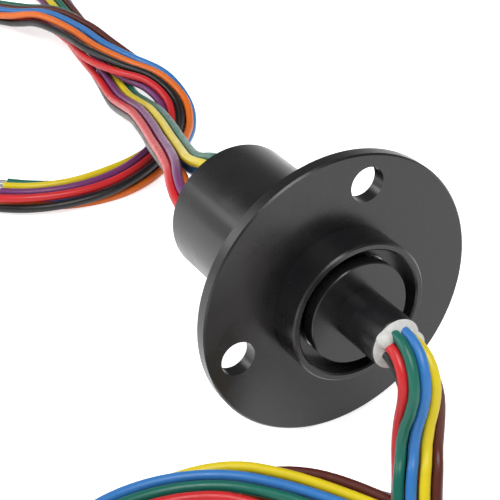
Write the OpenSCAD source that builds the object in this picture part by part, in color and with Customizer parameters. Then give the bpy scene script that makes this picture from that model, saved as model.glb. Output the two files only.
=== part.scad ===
// Capsule slip ring with a mounting flange, eight circuits.
// The rotation axis runs along X, +X towards the shaft, +Z is up.
// The origin is the centre of the flange's rear (mounting) face.
// All lengths are in millimetres.

/* [Flange] */
// Flange diameter
flange_d = 44.4; // [44:0.1:48]
// Flange thickness
flange_t = 2.2; // [2:0.1:2.6]
// Diameter of the circle that the bolt holes lie on
bolt_pcd = 35; // [33:0.1:36]
// Number of bolt holes
bolt_count = 3; // [3, 6]
// Bolt hole diameter
bolt_hole_d = 5.4; // [4.2:0.1:5.6]
// Direction of the first bolt hole about the axis, from +Y towards +Z
bolt_angle = -43.5; // [-90:0.5:0]

/* [Housing] */
// Diameter of the barrel behind the flange and of the boss before it
body_d = 22; // [22:0.1:24]
// Length of the barrel behind the flange's rear face
body_len = 28.1; // [28.1:0.1:32]
// Height of the boss above the flange's front face
boss_len = 5.2; // [5:0.1:6]
// Wall of the boss around its open recess
boss_wall = 1.15; // [1:0.05:1.4]
// Wall of the barrel around the ring chamber
wall = 1.8; // [1.5:0.1:1.9]
// Thickness of the rear cap
cap_t = 2.5; // [2.2:0.1:2.8]

/* [Rotor] */
// Diameter of the output shaft
shaft_d = 7.8; // [7.4:0.1:7.9]
// Length of the output shaft from the rotor disc
shaft_len = 8.7; // [8:0.1:12]
// Diameter of the rotor disc at the mouth of the boss
disc_d = 16; // [14:0.1:16.4]
// Bore of the hollow shaft
shaft_bore_d = 6.2; // [6.2:0.1:6.4]
// Height of the potting dome on the shaft end
dome_h = 1.3; // [1:0.1:1.8]

/* [Ring stack] */
// Number of circuits
circuits = 8; // [6:1:8]
// Space between a contact ring and the wall of its chamber
ring_space = 3.6; // [3.5:0.1:3.8]
// Height of the insulating barriers above the rings
barrier_rise = 0.6; // [0.5:0.05:0.7]
// Thickness of one barrier
barrier_t = 0.8; // [0.7:0.05:0.9]
// Diameter of the brush wire
brush_d = 0.3; // [0.25:0.05:0.35]
// Gap between a brush wire and its groove
brush_gap = 0.03; // [0.02:0.01:0.05]

/* [Bearings] */
// Play between the balls and their races
ball_gap = 0.03; // [0.02:0.01:0.04]
// Play between the balls and the cage pockets
cage_gap = 0.06; // [0.04:0.01:0.08]

/* [Leads] */
// Outside diameter of one lead
lead_d = 1.6; // [1.3:0.1:1.6]

/* [Hidden] */
$fn = 96;
flange_r = flange_d / 2;
body_r = body_d / 2;
chamber_r = body_r - wall;
cap_r = body_r - 1.2;
recess_r = body_r - boss_wall;
ring_r = chamber_r - ring_space;
barrier_r = ring_r + barrier_rise;
barrel_r = ring_r - 1.2;
seat_gap = 0.02;
boss_end = flange_t + boss_len;
bore_r = shaft_bore_d / 2;
edge = 0.25;

// front bearing, 8 x 16 x 5
fb_in = 4;
fb_out = 8;
fb_w = 5;
fb_x = 1.5;
fb_pitch = 6;
fb_ball = 1;
fb_balls = 9;
// rear bearing, 4 x 9 x 2.5
rb_in = 2;
rb_out = 4.5;
rb_w = 2.5;
rb_x = -body_len + cap_t + 0.2 + rb_w / 2;
rb_pitch = 3.25;
rb_ball = 0.75;
rb_balls = 7;

fb_front = fb_x + fb_w / 2;
fb_rear = fb_x - fb_w / 2;
rb_front = rb_x + rb_w / 2;
rb_rear = rb_x - rb_w / 2;

disc_x = boss_end + 0.1;
disc_t = 2;
recess_x = fb_front + 0.6;
shaft_end = disc_x + shaft_len;
spigot_r = min(3.7, barrel_r - 0.7);
spigot_bore = min(bore_r, spigot_r - 0.6);
spigot_len = 5;
core_r = min(3.1, barrel_r - 1.3);
shoulder_r = max(7, barrier_r + 0.4);

stack_x1 = fb_rear - 0.6;
stack_x0 = rb_front + 1.7;
ring_w = (stack_x1 - stack_x0 - (circuits + 1) * barrier_t) / circuits;
pitch = ring_w + barrier_t;
groove_r = ring_r - 0.35;
brush_r = brush_d / 2;
brush_w = groove_r + brush_r + brush_gap;
block_v = barrier_r + 0.6;
block_angle = bolt_angle + 90;
block_x0 = rb_front - 1;
block_x1 = fb_rear - 1.4;

// lead outlets in the rear cap
outlet_pos = cap_r - 2.9;
outlet_spread = 40;
outlet_dir = bolt_angle + 180;
outlet_r = 2.35;
plug_h = 0.5;

// leads: eight round wires lie side by side on a rounded loop
lead_r = lead_d / 2;
lead_sides = 8;
lead_rings = 54;
loop_round = 2.1;
loop_flat = 1.2;
loop_row = 3.5;

// route of the rotor leads: x from the shaft end, y, z, roll, flatness, turn
rotor_route = [
    [-0.6, 0, 0, 0, 0, -1], [1.6, 0, 0, 0, 0, -1], [3.8, 0, -0.9, 0, 0.2, -1],
    [5.5, 0, -2.9, 0, 0.5, -1], [6.3, 0, -5.8, 0, 0.8, -1], [6.5, -0.2, -9.2, 0, 1, -1],
    [7.2, -0.8, -12.4, 0, 1, -1], [9.4, -2.2, -15, 0, 1, -1], [13.4, -5.2, -16.1, 0, 1, -1],
    [19.2, -9.6, -16.5, 0, 1, -0.9], [25.2, -14.6, -18.2, 0, 1, -0.8],
    [30.8, -20.4, -20.2, 0, 1, -0.7], [35.4, -27.6, -20.2, 0, 1, -0.6],
    [37.6, -36.4, -20.2, 0, 1, -0.5], [35.8, -45.8, -20.2, 0, 1, -0.3],
    [29.8, -53.6, -20.2, 0, 1, -0.1], [20.8, -58.2, -20.2, 0, 1, 0.2],
    [10.8, -59, -20.2, 0, 1, 0.5], [1.6, -55.4, -20.2, 0, 1, 0.8],
    [-5.2, -48.8, -20.2, 0, 1.1, 1], [-8.6, -40.2, -20.2, 0, 1.3, 1],
    [-8.8, -31.4, -20.2, 0, 1.5, 0.8], [-6.6, -23.4, -20.2, 0, 1.6, 0.3],
    [-2, -16.6, -20.2, 0, 1.6, -0.4], [4, -11, -20.2, 0, 1.4, -1.1],
    [11, -6.4, -20.2, 0, 1.1, -1.7], [18.8, -3, -20.2, 0, 1, -2.2],
    [27.2, -2, -20.2, 0, 1, -2.6], [35.2, -4.4, -20.2, 0, 1, -2.9],
    [41.8, -10.2, -20.2, 0, 1, -3.2], [46, -18.2, -20.2, 0, 1, -3.5],
    [47.6, -27.4, -20.2, 0, 1, -3.8], [46.8, -37, -20.2, 0, 1, -4.1]];

// route of the stator leads: x from the rear end of the barrel, y, z, roll, flatness, turn
stator_route = [
    [0.7, -3.8, 3.6, -46.5, 0.9, 0], [-5.9, -3.3, 3.3, -36, 0.9, 0],
    [-13.9, -1, 1.2, -16, 0.9, 0], [-23.9, 2.6, -2.2, 0, 0.9, 0], [-35.9, 7, -6, 0, 1, 0],
    [-49.9, 12, -9.8, 0, 1, 0], [-62.4, 16, -13.2, 0, 1, 0], [-73.4, 19.2, -17, 0, 1, 0],
    [-84.9, 21.8, -20, 0, 1, 0], [-96.9, 24.4, -20.2, 0, 1, 0.2],
    [-110.9, 26.8, -20.2, 0, 1, 0.6], [-125.9, 29.4, -20.2, 0, 1, 1],
    [-139.9, 32, -20.2, 0, 1, 1.4], [-150.4, 33.5, -20.2, 0, 1, 1.7],
    [-159.9, 31.2, -20.2, 0, 1, 2], [-163.9, 24.5, -20.2, 0, 1, 2.2],
    [-159.4, 17.8, -20.2, 0, 1, 2.4], [-149.9, 16, -20.2, 0, 1, 2.6],
    [-137.9, 19.8, -18.8, 0, 1.4, 3], [-126.4, 23.4, -16.2, 0, 1.6, 3.5],
    [-113.9, 25, -15.9, 0, 1.6, 3.9], [-101.9, 24.8, -15.9, 0, 1.6, 4.3],
    [-90.9, 26, -15.9, 0, 1.4, 4.7], [-81.9, 28.4, -16.4, 0, 1.1, 5.1],
    [-74.4, 28.8, -18.6, 0, 1, 5.5], [-67.4, 25.8, -20.2, 0, 1, 5.8],
    [-61.3, 20.4, -20.2, 0, 1, 6.2], [-56.5, 14.4, -20.2, 0, 1.2, 6.6],
    [-53.1, 7.6, -20.2, 0, 1.4, 7], [-51.7, 0.5, -20.2, 0, 1.5, 7.4],
    [-52.4, -6.5, -20.2, 0, 1.5, 7.7], [-55.4, -13.5, -20.2, 0, 1.5, 8],
    [-60.9, -20, -20.2, 0, 1.5, 8.2]];

// the leads lie on the surface level with the lowest point of the flange
drop = flange_r / 22.2;

function unit(v) = v / norm(v);
// smooth curve through the points of route p, u from 0 to len(p) - 1
function curve(p, u) =
    let (n = len(p), k = max(0, min(floor(u), n - 2)), t = u - k,
         a = p[max(k - 1, 0)], b = p[k], c = p[k + 1], d = p[min(k + 2, n - 1)])
    0.5 * (2 * b + (c - a) * t + (2 * a - 5 * b + 4 * c - d) * t * t
           + (3 * b - 3 * c + d - a) * t * t * t);
function spot(p, u, x0) = let (q = curve(p, u)) [x0 + q[0], q[1], q[2] * drop];
// position of wire place s (0 to 8 all round) on a loop of flatness f
function place(s, f) =
    let (r = max(loop_flat, loop_round + (loop_flat - loop_round) * f), w = loop_row * f,
         arc = PI * r, d = (s / 8 - floor(s / 8)) * (2 * w + 2 * arc))
    d < w ? [d - w / 2, r]
    : d < w + arc ? let (a = 90 - (d - w) / arc * 180) [w / 2 + r * cos(a), r * sin(a)]
    : d < 2 * w + arc ? [w / 2 - (d - w - arc), -r]
    : let (a = -90 - (d - 2 * w - arc) / arc * 180) [-w / 2 + r * cos(a), r * sin(a)];
// place of wire i where the leads leave the two outlets of the rear cap
function outlet_place(i) =
    let (c = outlet_pos * sin(outlet_spread), k = i % 4, m = [-1, -1, 1, 1][k],
         n = [-1, 1, -1, 1][k], s = i < 4 ? 1 : -1)
    [s * (m * c + n * 0.85), s * 0.95];
// the outlets lie a little nearer the axis in a smaller housing, and the leads follow them
outlet_shift = (outlet_pos - 6.9) * cos(outlet_spread) * [0, cos(outlet_dir), sin(outlet_dir)];
// sideways direction of the loop at u
function side_dir(p, u, x0, lean) =
    let (n = len(p) - 1,
         t = unit(spot(p, min(u + 0.01, n), x0) - spot(p, max(u - 0.01, 0), x0)),
         w = [-t[1], t[0] + lean, 0], w1 = unit(w - t * (w * t)), b1 = cross(t, w1),
         g = curve(p, u)[3])
    [w1 * cos(g) + b1 * sin(g), b1 * cos(g) - w1 * sin(g)];
function wire_point(p, i, u, x0, lean, split) =
    let (q = curve(p, u), o = place(i - 0.5 + q[5], q[4]), d = side_dir(p, u, x0, lean),
         h = max(0, min(1, 1 - u / 2.4)), k = split ? h * h * (3 - 2 * h) : 0,
         e = k > 0 ? o * (1 - k) + outlet_place(i) * k : o)
    spot(p, u, x0) + d[0] * e[0] + d[1] * e[1] + k * outlet_shift;

// colours
black = [0.05, 0.05, 0.055];
grey = [0.25, 0.25, 0.27];
gold = [0.83, 0.66, 0.28];
steel = [0.72, 0.73, 0.75];
white = [0.9, 0.9, 0.88];
lead_red = [0.78, 0.08, 0.07];
lead_green = [0.04, 0.38, 0.3];
lead_blue = [0.16, 0.42, 0.75];
lead_yellow = [0.85, 0.76, 0.12];
lead_brown = [0.33, 0.14, 0.1];
lead_purple = [0.45, 0.2, 0.45];
lead_orange = [0.92, 0.42, 0.12];
lead_black = [0.06, 0.06, 0.06];

// ---- helpers ----
module disc(r, x0, x1) translate([x0, 0, 0]) rotate([0, 90, 0]) cylinder(h = x1 - x0, r = r);
// profile points are [radius, x]
module turned() rotate([0, 90, 0]) rotate_extrude() children();
module about(a) rotate([a, 0, 0]) children();

// ---- housing: flange, barrel and boss in one moulding ----
module housing_outline()
    polygon([[0, -body_len], [body_r - edge, -body_len], [body_r, edge - body_len],
        [body_r, 0], [flange_r - edge, 0], [flange_r, edge], [flange_r, flange_t - edge],
        [flange_r - edge, flange_t], [body_r, flange_t], [body_r, boss_end - edge],
        [body_r - edge, boss_end], [0, boss_end]]);

module housing_cavity()
    polygon([[0, -body_len - 1], [cap_r, -body_len - 1], [cap_r, cap_t - body_len],
        [chamber_r, cap_t - body_len], [chamber_r, fb_rear - 1], [shoulder_r, fb_rear - 1],
        [shoulder_r, fb_rear], [fb_out, fb_rear], [fb_out, recess_x], [recess_r, recess_x],
        [recess_r, boss_end - edge], [recess_r + edge, boss_end],
        [recess_r + edge, boss_end + 1], [0, boss_end + 1]]);

module housing() color(black) difference() {
    turned() housing_outline();
    turned() housing_cavity();
    for (k = [0 : bolt_count - 1]) about(bolt_angle + k * 360 / bolt_count)
        translate([0, bolt_pcd / 2, 0]) disc(bolt_hole_d / 2, -1, flange_t + 1);
    // mould line along the barrel
    about(bolt_angle + 181) translate([-body_len - 1, body_r - 0.1, -0.12]) cube([body_len + 0.2, 1, 0.24]);
}

// ---- rear cap with the rear bearing seat and two lead outlets ----
module outlet_at(s) about(outlet_dir + s * outlet_spread) translate([0, outlet_pos, 0])
    children();

module rear_cap() color(black) difference() {
    union() {
        disc(cap_r - seat_gap, -body_len, cap_t - body_len - seat_gap);
        disc(rb_out + 0.8, -body_len, rb_front);
    }
    disc(rb_out, rb_rear, rb_front + 1);
    disc(3.2, rb_rear - 1.6, rb_rear + 0.1);
    for (s = [-1, 1]) outlet_at(s) disc(outlet_r, -body_len - 1, cap_t - body_len);
}

// ---- ball bearings ----
module race(r0, r1, x, w, pitch_r, ball) color(steel) translate([x, 0, 0]) turned()
    difference() {
        translate([r0, -w / 2]) square([r1 - r0, w]);
        translate([pitch_r, 0]) circle(r = ball + ball_gap);
    }
module balls(x, pitch_r, ball, n) color(steel) for (k = [0 : n - 1])
    about(k * 360 / n) translate([x, pitch_r, 0]) sphere(r = ball);
module cage(x, pitch_r, ball, n, w) color(gold) difference() {
    translate([x, 0, 0]) turned()
        translate([pitch_r - ball * 0.42, -w / 2]) square([ball * 0.84, w]);
    for (k = [0 : n - 1]) about(k * 360 / n) translate([x, pitch_r - ball, 0])
        rotate([-90, 0, 0]) cylinder(h = 2 * ball, r = ball + cage_gap);
}
module front_outer_race() race(fb_pitch + 0.75, fb_out, fb_x, fb_w, fb_pitch, fb_ball);
module front_inner_race() race(fb_in, fb_pitch - 0.75, fb_x, fb_w, fb_pitch, fb_ball);
module front_balls() balls(fb_x, fb_pitch, fb_ball, fb_balls);
module front_cage() cage(fb_x, fb_pitch, fb_ball, fb_balls, 3.2);
module rear_outer_race() race(rb_pitch + 0.55, rb_out, rb_x, rb_w, rb_pitch, rb_ball);
module rear_inner_race() race(rb_in, rb_pitch - 0.55, rb_x, rb_w, rb_pitch, rb_ball);
module rear_balls() balls(rb_x, rb_pitch, rb_ball, rb_balls);
module rear_cage() cage(rb_x, rb_pitch, rb_ball, rb_balls, 2);

// ---- rotor ----
module rotor_shaft() color(black) turned() polygon(concat([
    [spigot_bore, fb_rear - spigot_len], [spigot_r, fb_rear - spigot_len], [spigot_r, fb_rear],
    [fb_in, fb_rear], [fb_in, fb_front], [5, fb_front], [5, disc_x - disc_t],
    [disc_d / 2, disc_x - disc_t], [disc_d / 2, disc_x - 0.15], [disc_d / 2 - 0.15, disc_x],
    [shaft_d / 2, disc_x], [shaft_d / 2, shaft_end - 0.2], [shaft_d / 2 - 0.2, shaft_end],
    [bore_r, shaft_end]],
    spigot_bore < bore_r ? [[bore_r, fb_rear], [spigot_bore, fb_rear]] : []));

// moulded barrel that carries the rings between insulating barriers
module ring_barrel() color(grey) {
    turned() difference() {
        union() {
            polygon([[0, rb_rear - 1], [rb_in - 0.2, rb_rear - 1], [rb_in, rb_rear - 0.8],
                [rb_in, rb_front], [2.7, rb_front], [2.7, rb_front + 0.7],
                [barrel_r, rb_front + 0.7], [barrel_r, fb_rear], [0, fb_rear]]);
            for (k = [0 : circuits]) translate([barrel_r - 0.1, stack_x0 + k * pitch])
                square([barrier_r - barrel_r + 0.1, barrier_t]);
        }
        translate([0, stack_x0 + 0.6]) square([core_r, 30]);
        translate([0, fb_rear - spigot_len]) square([spigot_r, 30]);
        translate([rb_in - 0.3, rb_rear - 0.45]) square([1, 0.45]);
    }
}
module retaining_ring() color(steel) difference() {
    disc(2.9, rb_rear - 0.4, rb_rear);
    disc(rb_in - 0.3, rb_rear - 1, rb_rear + 1);
}

// contact ring k, counted from the shaft end, with a groove for its brush
module contact_ring(k) color(gold)
    translate([stack_x1 - barrier_t - ring_w / 2 - (k - 1) * pitch, 0, 0]) turned()
        polygon([[barrel_r, -ring_w / 2], [ring_r, -ring_w / 2], [ring_r, -0.45],
            [groove_r, -0.2], [groove_r, 0.2], [ring_r, 0.45], [ring_r, ring_w / 2],
            [barrel_r, ring_w / 2]]);
module contact_ring_1() contact_ring(1);
module contact_ring_2() contact_ring(2);
module contact_ring_3() contact_ring(3);
module contact_ring_4() contact_ring(4);
module contact_ring_5() contact_ring(5);
module contact_ring_6() contact_ring(6);
module contact_ring_7() contact_ring(7);
module contact_ring_8() contact_ring(8);

// ---- brushes: a block on each side carries the forks of every other ring ----
module brush_block(s) color(grey) about(block_angle + s * 180) intersection() {
    disc(chamber_r, block_x0, block_x1);
    translate([block_x0, block_v, -brush_w - 0.6])
        cube([block_x1 - block_x0, 4, 2 * brush_w + 1.2]);
}
module brush_block_upper() brush_block(0);
module brush_block_lower() brush_block(1);

// fork of one bent wire, both arms run past the ring in its groove
module brush(k) color(gold)
    about(block_angle + (k % 2) * 180)
        translate([stack_x1 - barrier_t - ring_w / 2 - (k - 1) * pitch, 0, 0]) {
            translate([0, block_v - brush_r, -brush_w]) cylinder(h = 2 * brush_w, r = brush_r);
            for (s = [-1, 1]) {
                translate([0, block_v - brush_r, s * brush_w]) sphere(r = brush_r);
                translate([0, -1.8, s * brush_w]) rotate([-90, 0, 0])
                    cylinder(h = block_v - brush_r + 1.8, r = brush_r);
            }
        }
module brush_1() brush(1);
module brush_2() brush(2);
module brush_3() brush(3);
module brush_4() brush(4);
module brush_5() brush(5);
module brush_6() brush(6);
module brush_7() brush(7);
module brush_8() brush(8);

// ---- potting where the leads come out ----
module shaft_potting() color(white) {
    dome_r = shaft_d / 2 - 0.1;
    big = (dome_h * dome_h + dome_r * dome_r) / (2 * dome_h);
    disc(bore_r, shaft_end - 5, shaft_end);
    intersection() {
        union() {
            translate([shaft_end + dome_h - big, 0, 0]) sphere(r = big);
            translate([shaft_end + 0.4, 2.7, -0.3]) sphere(r = 1.5);
            translate([shaft_end + 0.3, -2.2, 1.6]) sphere(r = 1.3);
        }
        disc(6, shaft_end, shaft_end + 4);
    }
}
module outlet_potting(s) color(white) outlet_at(s) {
    disc(outlet_r, -body_len, cap_t - body_len);
    disc(outlet_r - 0.15, -body_len - plug_h, -body_len);
}
module outlet_potting_upper() outlet_potting(-1);
module outlet_potting_side() outlet_potting(1);

// ---- leads ----
module lead(p, i, x0, lean, split) {
    n = len(p) - 1;
    us = [for (j = [0 : lead_rings - 1]) j * n / (lead_rings - 1)];
    pts = [for (u = us)
        let (c = wire_point(p, i, u, x0, lean, split),
             t = unit(wire_point(p, i, min(u + 0.02, n), x0, lean, split)
                      - wire_point(p, i, max(u - 0.02, 0), x0, lean, split)),
             w = side_dir(p, u, x0, lean)[0], e = unit(w - t * (w * t)), f = cross(t, e))
        for (k = [0 : lead_sides - 1])
            c + lead_r * (e * cos((k + 0.5) * 360 / lead_sides)
                          + f * sin((k + 0.5) * 360 / lead_sides))];
    m = lead_sides;
    polyhedron(points = pts, convexity = 10, faces = concat(
        [[for (k = [0 : m - 1]) k]],
        [for (j = [0 : lead_rings - 2], k = [0 : m - 1])
            [j * m + k, (j + 1) * m + k, (j + 1) * m + (k + 1) % m, j * m + (k + 1) % m]],
        [[for (k = [m - 1 : -1 : 0]) (lead_rings - 1) * m + k]]));
}
module rotor_lead(i) lead(rotor_route, i, shaft_end, 0.4, false);
module stator_lead(i) lead(stator_route, i, -body_len, 0, true);
module rotor_lead_red() color(lead_red) rotor_lead(0);
module rotor_lead_green() color(lead_green) rotor_lead(1);
module rotor_lead_blue() color(lead_blue) rotor_lead(2);
module rotor_lead_yellow() color(lead_yellow) rotor_lead(3);
module rotor_lead_brown() color(lead_brown) rotor_lead(4);
module rotor_lead_purple() color(lead_purple) rotor_lead(5);
module rotor_lead_orange() color(lead_orange) rotor_lead(6);
module rotor_lead_black() color(lead_black) rotor_lead(7);
module stator_lead_green() color(lead_green) stator_lead(0);
module stator_lead_yellow() color(lead_yellow) stator_lead(1);
module stator_lead_purple() color(lead_purple) stator_lead(2);
module stator_lead_red() color(lead_red) stator_lead(3);
module stator_lead_black() color(lead_black) stator_lead(4);
module stator_lead_orange() color(lead_orange) stator_lead(5);
module stator_lead_blue() color(lead_blue) stator_lead(6);
module stator_lead_brown() color(lead_brown) stator_lead(7);

housing();
rear_cap();
front_outer_race();
front_inner_race();
front_balls();
front_cage();
rear_outer_race();
rear_inner_race();
rear_balls();
rear_cage();
rotor_shaft();
ring_barrel();
retaining_ring();
contact_ring_1();
contact_ring_2();
contact_ring_3();
contact_ring_4();
contact_ring_5();
contact_ring_6();
contact_ring_7();
contact_ring_8();
brush_block_upper();
brush_block_lower();
brush_1();
brush_2();
brush_3();
brush_4();
brush_5();
brush_6();
brush_7();
brush_8();
shaft_potting();
outlet_potting_upper();
outlet_potting_side();
rotor_lead_red();
rotor_lead_green();
rotor_lead_blue();
rotor_lead_yellow();
rotor_lead_brown();
rotor_lead_purple();
rotor_lead_orange();
rotor_lead_black();
stator_lead_green();
stator_lead_yellow();
stator_lead_purple();
stator_lead_red();
stator_lead_black();
stator_lead_orange();
stator_lead_blue();
stator_lead_brown();
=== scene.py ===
import math

import bpy
import numpy as np
from mathutils import Matrix, Vector


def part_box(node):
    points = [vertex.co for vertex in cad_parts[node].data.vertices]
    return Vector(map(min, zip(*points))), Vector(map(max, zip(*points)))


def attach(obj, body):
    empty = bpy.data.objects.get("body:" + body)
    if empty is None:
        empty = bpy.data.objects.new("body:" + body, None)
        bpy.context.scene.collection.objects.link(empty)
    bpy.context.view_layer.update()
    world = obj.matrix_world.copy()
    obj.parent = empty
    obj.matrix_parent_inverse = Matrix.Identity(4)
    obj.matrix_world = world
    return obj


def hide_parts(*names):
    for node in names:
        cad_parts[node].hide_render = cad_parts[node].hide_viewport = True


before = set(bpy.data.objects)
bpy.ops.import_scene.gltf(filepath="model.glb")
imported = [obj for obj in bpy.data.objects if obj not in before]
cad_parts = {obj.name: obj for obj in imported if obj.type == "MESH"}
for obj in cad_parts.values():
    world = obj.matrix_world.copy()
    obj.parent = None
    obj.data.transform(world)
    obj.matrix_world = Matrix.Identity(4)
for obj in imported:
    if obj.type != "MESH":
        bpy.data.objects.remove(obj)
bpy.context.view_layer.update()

# ---------------------------------------------------------------- sizes, in metres
flange_lo, flange_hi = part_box("housing")
FLANGE_R = flange_hi[2]
SHAFT_END = 0.0162
REAR = -0.0281
FLOOR_Z = -FLANGE_R
LEAD_D = 0.0016
TIP_D = 0.00078
STRIP = 0.005
FLOOR_HALF = 3.0


# ---------------------------------------------------------------- camera
cam_data = bpy.data.cameras.new("camera")
cam_data.sensor_width = 36.0
cam_data.lens = 107.8
cam_data.clip_start = 0.005
cam_data.clip_end = 20.0
cam = bpy.data.objects.new("camera", cam_data)
bpy.context.scene.collection.objects.link(cam)
right = Vector((0.509362, 0.860552, 0.0))
up = Vector((-0.438983, 0.259835, 0.860105))
ahead = Vector((-0.740165, 0.438105, -0.510117))
turn = Matrix((right, up, -ahead)).transposed()
cam.rotation_mode = "QUATERNION"
cam.rotation_quaternion = turn.to_quaternion()
cam.location = (0.15168, -0.10335, 0.11523)
bpy.context.scene.camera = cam


# ---------------------------------------------------------------- materials
def material(name):
    m = bpy.data.materials.new(name)
    m.use_nodes = True
    t = m.node_tree
    t.nodes.clear()
    out = t.nodes.new("ShaderNodeOutputMaterial")
    b = t.nodes.new("ShaderNodeBsdfPrincipled")
    t.links.new(b.outputs[0], out.inputs[0])
    return m, t, b


def node(t, kind, **values):
    n = t.nodes.new(kind)
    for k, v in values.items():
        if k in n.inputs:
            n.inputs[k].default_value = v
        else:
            setattr(n, k, v)
    return n


def coords(t, scale=(1, 1, 1)):
    tc = node(t, "ShaderNodeTexCoord")
    mp = node(t, "ShaderNodeMapping")
    mp.inputs["Scale"].default_value = scale
    t.links.new(tc.outputs["Object"], mp.inputs["Vector"])
    return mp.outputs[0]


def fac_of(t, where, scale, detail=3.0, rough=0.5):
    n = node(t, "ShaderNodeTexNoise")
    n.inputs["Scale"].default_value = scale
    n.inputs["Detail"].default_value = detail
    n.inputs["Roughness"].default_value = rough
    t.links.new(where, n.inputs["Vector"])
    return n.outputs["Fac"]


def ramp(t, fac, lo, hi, a=0.0, b=1.0):
    r = node(t, "ShaderNodeMapRange")
    r.inputs["From Min"].default_value = a
    r.inputs["From Max"].default_value = b
    r.inputs["To Min"].default_value = lo
    r.inputs["To Max"].default_value = hi
    t.links.new(fac, r.inputs["Value"])
    return r.outputs[0]


def mix(t, fac, a, b):
    n = node(t, "ShaderNodeMix", data_type="RGBA")
    t.links.new(fac, n.inputs[0])
    n.inputs[6].default_value = (*a, 1)
    n.inputs[7].default_value = (*b, 1)
    return n.outputs[2]


def bump(t, b, height, strength, distance):
    n = node(t, "ShaderNodeBump")
    n.inputs["Strength"].default_value = strength
    n.inputs["Distance"].default_value = distance
    t.links.new(height, n.inputs["Height"])
    t.links.new(n.outputs[0], b.inputs["Normal"])


def black_plastic(name, rough, tone, fine):
    m, t, b = material(name)
    where = coords(t)
    b.inputs["IOR"].default_value = 1.5
    cloud = fac_of(t, where, 180, 4)
    t.links.new(mix(t, cloud, tuple(0.75 * c for c in tone), tuple(1.3 * c for c in tone)),
                b.inputs["Base Color"])
    t.links.new(ramp(t, cloud, rough - 0.05, rough + 0.05, 0.3, 0.7), b.inputs["Roughness"])
    bump(t, b, fac_of(t, where, fine, 2), 0.12, 0.00004)
    return m


def metal(name, tone, rough, grain=(1, 1, 1)):
    m, t, b = material(name)
    b.inputs["Metallic"].default_value = 1.0
    where = coords(t, grain)
    cloud = fac_of(t, where, 900, 4)
    t.links.new(mix(t, cloud, tuple(0.85 * c for c in tone), tone), b.inputs["Base Color"])
    t.links.new(ramp(t, cloud, rough - 0.06, rough + 0.08, 0.3, 0.7), b.inputs["Roughness"])
    bump(t, b, cloud, 0.1, 0.00002)
    return m


def insulation(name, tone):
    m, t, b = material(name)
    where = coords(t)
    cloud = fac_of(t, where, 260, 3)
    t.links.new(mix(t, cloud, tuple(0.86 * c for c in tone), tuple(min(1, 1.08 * c) for c in tone)),
                b.inputs["Base Color"])
    t.links.new(ramp(t, fac_of(t, where, 900, 3), 0.3, 0.46, 0.3, 0.7), b.inputs["Roughness"])
    b.inputs["IOR"].default_value = 1.46
    bump(t, b, fac_of(t, where, 700, 2), 0.15, 0.00008)
    return m


def potting(name):
    m, t, b = material(name)
    where = coords(t)
    cloud = fac_of(t, where, 1400, 5, 0.65)
    t.links.new(mix(t, cloud, (0.5, 0.5, 0.48), (0.9, 0.9, 0.88)), b.inputs["Base Color"])
    t.links.new(ramp(t, cloud, 0.55, 0.85), b.inputs["Roughness"])
    bump(t, b, fac_of(t, where, 1600, 6, 0.7), 0.7, 0.0005)
    return m


MATS = {
    "housing_black": black_plastic("black_moulded", 0.27, (0.010, 0.010, 0.011), 4200),
    "rotor_black": black_plastic("black_rotor", 0.25, (0.011, 0.011, 0.012), 3600),
    "insulator": black_plastic("insulator_grey", 0.45, (0.12, 0.12, 0.13), 3000),
    "gold_alloy": metal("gold_alloy", (0.86, 0.64, 0.27), 0.24, (1, 0.1, 0.1)),
    "bearing_steel": metal("bearing_steel", (0.62, 0.63, 0.65), 0.22, (1, 0.1, 0.1)),
    "ball_steel": metal("ball_steel", (0.72, 0.73, 0.75), 0.12),
    "cage_brass": metal("cage_brass", (0.72, 0.5, 0.2), 0.3),
    "potting_white": potting("potting_white"),
}
COLOURS = {
    "red": (0.60, 0.018, 0.022),
    "green": (0.006, 0.135, 0.095),
    "blue": (0.035, 0.19, 0.52),
    "yellow": (0.74, 0.58, 0.012),
    "brown": (0.095, 0.018, 0.012),
    "purple": (0.165, 0.035, 0.15),
    "orange": (0.78, 0.16, 0.014),
    "black": (0.008, 0.008, 0.009),
}
for c, tone in COLOURS.items():
    MATS["lead_" + c] = insulation("insulation_" + c, tone)
TINNED = metal("tinned_copper", (0.7, 0.68, 0.64), 0.3)

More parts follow.
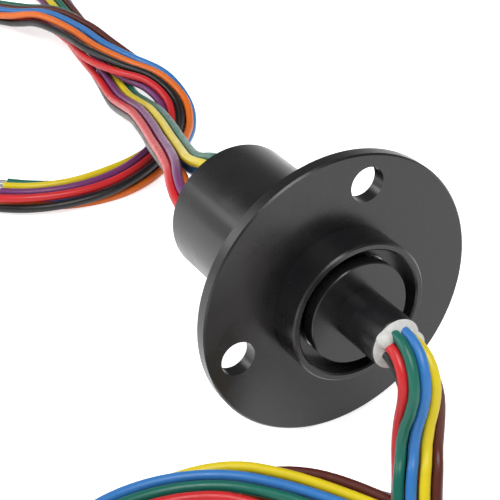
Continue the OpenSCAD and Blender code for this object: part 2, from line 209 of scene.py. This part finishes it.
# ---------------------------------------------------------------- the leads' route
# x from the shaft end, y, z in mm; roll in degrees; flatness and turn of the loop
ROTOR_ROUTE = np.array([
    [-0.6, 0, 0, 0, 0, -1], [1.6, 0, 0, 0, 0, -1], [3.8, 0, -0.9, 0, 0.2, -1],
    [5.5, 0, -2.9, 0, 0.5, -1], [6.3, 0, -5.8, 0, 0.8, -1], [6.5, -0.2, -9.2, 0, 1, -1],
    [7.2, -0.8, -12.4, 0, 1, -1], [9.4, -2.2, -15, 0, 1, -1], [13.4, -5.2, -16.1, 0, 1, -1],
    [19.2, -9.6, -16.5, 0, 1, -0.9], [25.2, -14.6, -18.2, 0, 1, -0.8],
    [30.8, -20.4, -20.2, 0, 1, -0.7], [35.4, -27.6, -20.2, 0, 1, -0.6],
    [37.6, -36.4, -20.2, 0, 1, -0.5], [35.8, -45.8, -20.2, 0, 1, -0.3],
    [29.8, -53.6, -20.2, 0, 1, -0.1], [20.8, -58.2, -20.2, 0, 1, 0.2],
    [10.8, -59, -20.2, 0, 1, 0.5], [1.6, -55.4, -20.2, 0, 1, 0.8],
    [-5.2, -48.8, -20.2, 0, 1.1, 1], [-8.6, -40.2, -20.2, 0, 1.3, 1],
    [-8.8, -31.4, -20.2, 0, 1.5, 0.8], [-6.6, -23.4, -20.2, 0, 1.6, 0.3],
    [-2, -16.6, -20.2, 0, 1.6, -0.4], [4, -11, -20.2, 0, 1.4, -1.1],
    [11, -6.4, -20.2, 0, 1.1, -1.7], [18.8, -3, -20.2, 0, 1, -2.2],
    [27.2, -2, -20.2, 0, 1, -2.6], [35.2, -4.4, -20.2, 0, 1, -2.9],
    [41.8, -10.2, -20.2, 0, 1, -3.2], [46, -18.2, -20.2, 0, 1, -3.5],
    [47.6, -27.4, -20.2, 0, 1, -3.8], [46.8, -37, -20.2, 0, 1, -4.1]])
# the same, with x from the rear end of the barrel
STATOR_ROUTE = np.array([
    [0.7, -3.8, 3.6, -46.5, 0.9, 0], [-5.9, -3.3, 3.3, -36, 0.9, 0],
    [-13.9, -1, 1.2, -16, 0.9, 0], [-23.9, 2.6, -2.2, 0, 0.9, 0], [-35.9, 7, -6, 0, 1, 0],
    [-49.9, 12, -9.8, 0, 1, 0], [-62.4, 16, -13.2, 0, 1, 0], [-73.4, 19.2, -17, 0, 1, 0],
    [-84.9, 21.8, -20, 0, 1, 0], [-96.9, 24.4, -20.2, 0, 1, 0.2],
    [-110.9, 26.8, -20.2, 0, 1, 0.6], [-125.9, 29.4, -20.2, 0, 1, 1],
    [-139.9, 32, -20.2, 0, 1, 1.4], [-150.4, 33.5, -20.2, 0, 1, 1.7],
    [-159.9, 31.2, -20.2, 0, 1, 2], [-163.9, 24.5, -20.2, 0, 1, 2.2],
    [-159.4, 17.8, -20.2, 0, 1, 2.4], [-149.9, 16, -20.2, 0, 1, 2.6],
    [-137.9, 19.8, -18.8, 0, 1.4, 3], [-126.4, 23.4, -16.2, 0, 1.6, 3.5],
    [-113.9, 25, -15.9, 0, 1.6, 3.9], [-101.9, 24.8, -15.9, 0, 1.6, 4.3],
    [-90.9, 26, -15.9, 0, 1.4, 4.7], [-81.9, 28.4, -16.4, 0, 1.1, 5.1],
    [-74.4, 28.8, -18.6, 0, 1, 5.5], [-67.4, 25.8, -20.2, 0, 1, 5.8],
    [-61.3, 20.4, -20.2, 0, 1, 6.2], [-56.5, 14.4, -20.2, 0, 1.2, 6.6],
    [-53.1, 7.6, -20.2, 0, 1.4, 7], [-51.7, 0.5, -20.2, 0, 1.5, 7.4],
    [-52.4, -6.5, -20.2, 0, 1.5, 7.7], [-55.4, -13.5, -20.2, 0, 1.5, 8],
    [-60.9, -20, -20.2, 0, 1.5, 8.2]])


# the eight wires lie side by side on a loop: round, or flat with straight rows
LOOP_ROUND = 2.1
LOOP_FLAT = 1.2
LOOP_ROW = 3.5
# the two outlets in the rear cap, and how the wires sit in them
OUTLET_R = 6.9
OUTLET_SPREAD = 40
OUTLET_U = 0.85
OUTLET_V = 0.95
OUTLET_END = 2.4


def curve_at(p, u):
    """Smooth curve through the points of route p, u from 0 to len(p) - 1."""
    n = len(p)
    k = max(0, min(int(math.floor(u)), n - 2))
    t = u - k
    a, b, c, d = p[max(k - 1, 0)], p[k], p[k + 1], p[min(k + 2, n - 1)]
    return 0.5 * (2 * b + (c - a) * t + (2 * a - 5 * b + 4 * c - d) * t * t
                  + (3 * b - 3 * c + d - a) * t ** 3)


def spot(p, u, x0):
    q = curve_at(p, u)
    return np.array([x0 + q[0], q[1], q[2] * FLANGE_R / 0.0222])


def unit(v):
    return v / np.linalg.norm(v)


def place(s, f):
    """Position of wire place s, 0 to 8 all round, on a loop of flatness f."""
    r = max(LOOP_FLAT, LOOP_ROUND + (LOOP_FLAT - LOOP_ROUND) * f)
    w = LOOP_ROW * f
    arc = math.pi * r
    d = (s / 8 - math.floor(s / 8)) * (2 * w + 2 * arc)
    if d < w:
        return d - w / 2, r
    if d < w + arc:
        a = math.radians(90 - (d - w) / arc * 180)
        return w / 2 + r * math.cos(a), r * math.sin(a)
    if d < 2 * w + arc:
        return w / 2 - (d - w - arc), -r
    a = math.radians(-90 - (d - 2 * w - arc) / arc * 180)
    return -w / 2 + r * math.cos(a), r * math.sin(a)


def outlet_place(i):
    c = OUTLET_R * math.sin(math.radians(OUTLET_SPREAD))
    k = i % 4
    m, n = (-1, -1, 1, 1)[k], (-1, 1, -1, 1)[k]
    s = 1 if i < 4 else -1
    return s * (m * c + n * OUTLET_U), s * OUTLET_V


def wire_point(p, i, u, x0, lean, split):
    q = curve_at(p, u)
    n = len(p) - 1
    t = unit(spot(p, min(u + 0.01, n), x0) - spot(p, max(u - 0.01, 0), x0))
    w = np.array([-t[1], t[0] + lean, 0.0])
    w1 = unit(w - t * (w @ t))
    b1 = np.cross(t, w1)
    g = math.radians(q[3])
    d0 = w1 * math.cos(g) + b1 * math.sin(g)
    d1 = b1 * math.cos(g) - w1 * math.sin(g)
    o = place(i - 0.5 + q[5], q[4])
    h = max(0.0, min(1.0, 1 - u / OUTLET_END))
    k = h * h * (3 - 2 * h) if split else 0.0
    if k > 0:
        e = outlet_place(i)
        o = (o[0] * (1 - k) + e[0] * k, o[1] * (1 - k) + e[1] * k)
    return spot(p, u, x0) + d0 * o[0] + d1 * o[1]


def wire_line(p, i, x0, lean, split, step=1.4):
    n = len(p) - 1
    fine = np.array([wire_point(p, i, u, x0, lean, split)
                     for u in np.linspace(0, n, 60 * n + 1)])
    run = np.concatenate([[0], np.cumsum(np.linalg.norm(np.diff(fine, axis=0), axis=1))])
    count = max(8, int(run[-1] / step))
    at = np.linspace(0, run[-1], count + 1)
    return np.stack([np.interp(at, run, fine[:, k]) for k in range(3)], 1) / 1000, run[-1] / 1000


def tube(name, pts, dia, mat):
    data = bpy.data.curves.new(name, "CURVE")
    data.dimensions = "3D"
    s = data.splines.new("POLY")
    s.points.add(len(pts) - 1)
    flat = np.concatenate([pts, np.ones((len(pts), 1))], 1).astype(np.float32).ravel()
    s.points.foreach_set("co", flat)
    s.use_smooth = True
    data.bevel_depth = dia / 2
    data.bevel_resolution = 4
    data.use_fill_caps = True
    data.materials.append(mat)
    o = bpy.data.objects.new(name, data)
    bpy.context.scene.collection.objects.link(o)
    return o


ROTOR_ORDER = ["red", "green", "blue", "yellow", "brown", "purple", "orange", "black"]
STATOR_ORDER = ["green", "yellow", "purple", "red", "black", "orange", "blue", "brown"]
for side, order, p, x0, lean, split, body in (
        ("rotor", ROTOR_ORDER, ROTOR_ROUTE, SHAFT_END * 1000, 0.4, False, "rotor"),
        ("stator", STATOR_ORDER, STATOR_ROUTE, REAR * 1000, 0.0, True, "stator")):
    for i, colour in enumerate(order):
        pts, length = wire_line(p, i, x0, lean, split)
        run = np.concatenate([[0], np.cumsum(np.linalg.norm(np.diff(pts, axis=0), axis=1))])
        cut = int(np.searchsorted(run, run[-1] - STRIP))
        o = tube(f"{side}_wire_{colour}", pts[: cut + 1], LEAD_D, MATS["lead_" + colour])
        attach(o, body)
        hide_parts(f"{side}_lead_{colour}")
        tip = tube(f"{side}_tip_{colour}", pts[cut - 1:], TIP_D, TINNED)
        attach(tip, body)

# ---------------------------------------------------------------- finishes of the CAD nodes
for ob in [o if hasattr(o, "material_slots") else bpy.data.objects.get(o)
           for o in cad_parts.values()]:
    for s in ob.material_slots if ob else ():
        key = s.material.name if s.material else ""
        hit = next((k for k in MATS if key.startswith(k)), None)
        if hit:
            s.material = MATS[hit]
        else:
            print("no finish for", ob.name, key)

# ---------------------------------------------------------------- floor, world and lamps
mesh = bpy.data.meshes.new("floor")
corners = [(-1, -1), (1, -1), (1, 1), (-1, 1)]
mesh.from_pydata([(x * FLOOR_HALF, y * FLOOR_HALF, FLOOR_Z) for x, y in corners], [],
                 [(0, 1, 2, 3)])
floor = bpy.data.objects.new("floor", mesh)
bpy.context.scene.collection.objects.link(floor)
m = bpy.data.materials.new("floor_white")
m.use_nodes = True
t = m.node_tree
t.nodes.clear()
out = t.nodes.new("ShaderNodeOutputMaterial")
dif = node(t, "ShaderNodeBsdfDiffuse")
dif.inputs["Color"].default_value = (0.9, 0.9, 0.9, 1)
emi = node(t, "ShaderNodeEmission")
emi.inputs["Color"].default_value = (1, 1, 1, 1)
lp = node(t, "ShaderNodeLightPath")
add = node(t, "ShaderNodeMath", operation="MAXIMUM")
add2 = node(t, "ShaderNodeMath", operation="MAXIMUM")
t.links.new(lp.outputs["Is Camera Ray"], add.inputs[0])
t.links.new(lp.outputs["Is Glossy Ray"], add.inputs[1])
t.links.new(add.outputs[0], add2.inputs[0])
t.links.new(lp.outputs["Is Transmission Ray"], add2.inputs[1])
glow = node(t, "ShaderNodeMath", operation="MULTIPLY")
glow.inputs[1].default_value = 0.72
t.links.new(add2.outputs[0], glow.inputs[0])
t.links.new(glow.outputs[0], emi.inputs["Strength"])
both = node(t, "ShaderNodeAddShader")
t.links.new(dif.outputs[0], both.inputs[0])
t.links.new(emi.outputs[0], both.inputs[1])
t.links.new(both.outputs[0], out.inputs[0])
mesh.materials.append(m)

world = bpy.data.worlds.new("studio")
bpy.context.scene.world = world
world.use_nodes = True
t = world.node_tree
t.nodes.clear()
out = t.nodes.new("ShaderNodeOutputWorld")
bg = node(t, "ShaderNodeBackground")
lp = node(t, "ShaderNodeLightPath")
tc = node(t, "ShaderNodeTexCoord")
sep = node(t, "ShaderNodeSeparateXYZ")
t.links.new(tc.outputs["Generated"], sep.inputs[0])
sky = node(t, "ShaderNodeMapRange", interpolation_type="SMOOTHSTEP")
sky.inputs["From Min"].default_value = 0.02
sky.inputs["From Max"].default_value = 0.5
sky.inputs["To Min"].default_value = 1.0
sky.inputs["To Max"].default_value = 0.18
t.links.new(sep.outputs["Z"], sky.inputs["Value"])
pick = node(t, "ShaderNodeMix", data_type="FLOAT")
t.links.new(lp.outputs["Is Camera Ray"], pick.inputs[0])
t.links.new(sky.outputs[0], pick.inputs[2])
pick.inputs[3].default_value = 1.0
t.links.new(pick.outputs[0], bg.inputs["Strength"])
bg.inputs["Color"].default_value = (1, 1, 1, 1)
t.links.new(bg.outputs[0], out.inputs[0])


def lamp(name, at, to, size, power):
    d = bpy.data.lights.new(name, "AREA")
    d.shape = "RECTANGLE"
    d.size, d.size_y = size
    d.energy = power
    o = bpy.data.objects.new(name, d)
    bpy.context.scene.collection.objects.link(o)
    o.location = at
    o.rotation_mode = "QUATERNION"
    o.rotation_quaternion = (Vector(to) - Vector(at)).to_track_quat("-Z", "Y")
    return o


lamp("key", (0.25, -0.1, 0.55), (0, 0, 0), (0.4, 0.4), 3.2)
lamp("side", (-0.35, -0.45, 0.35), (0, 0, 0), (0.35, 0.35), 1.8)

scene = bpy.context.scene
scene.view_settings.view_transform = "Standard"
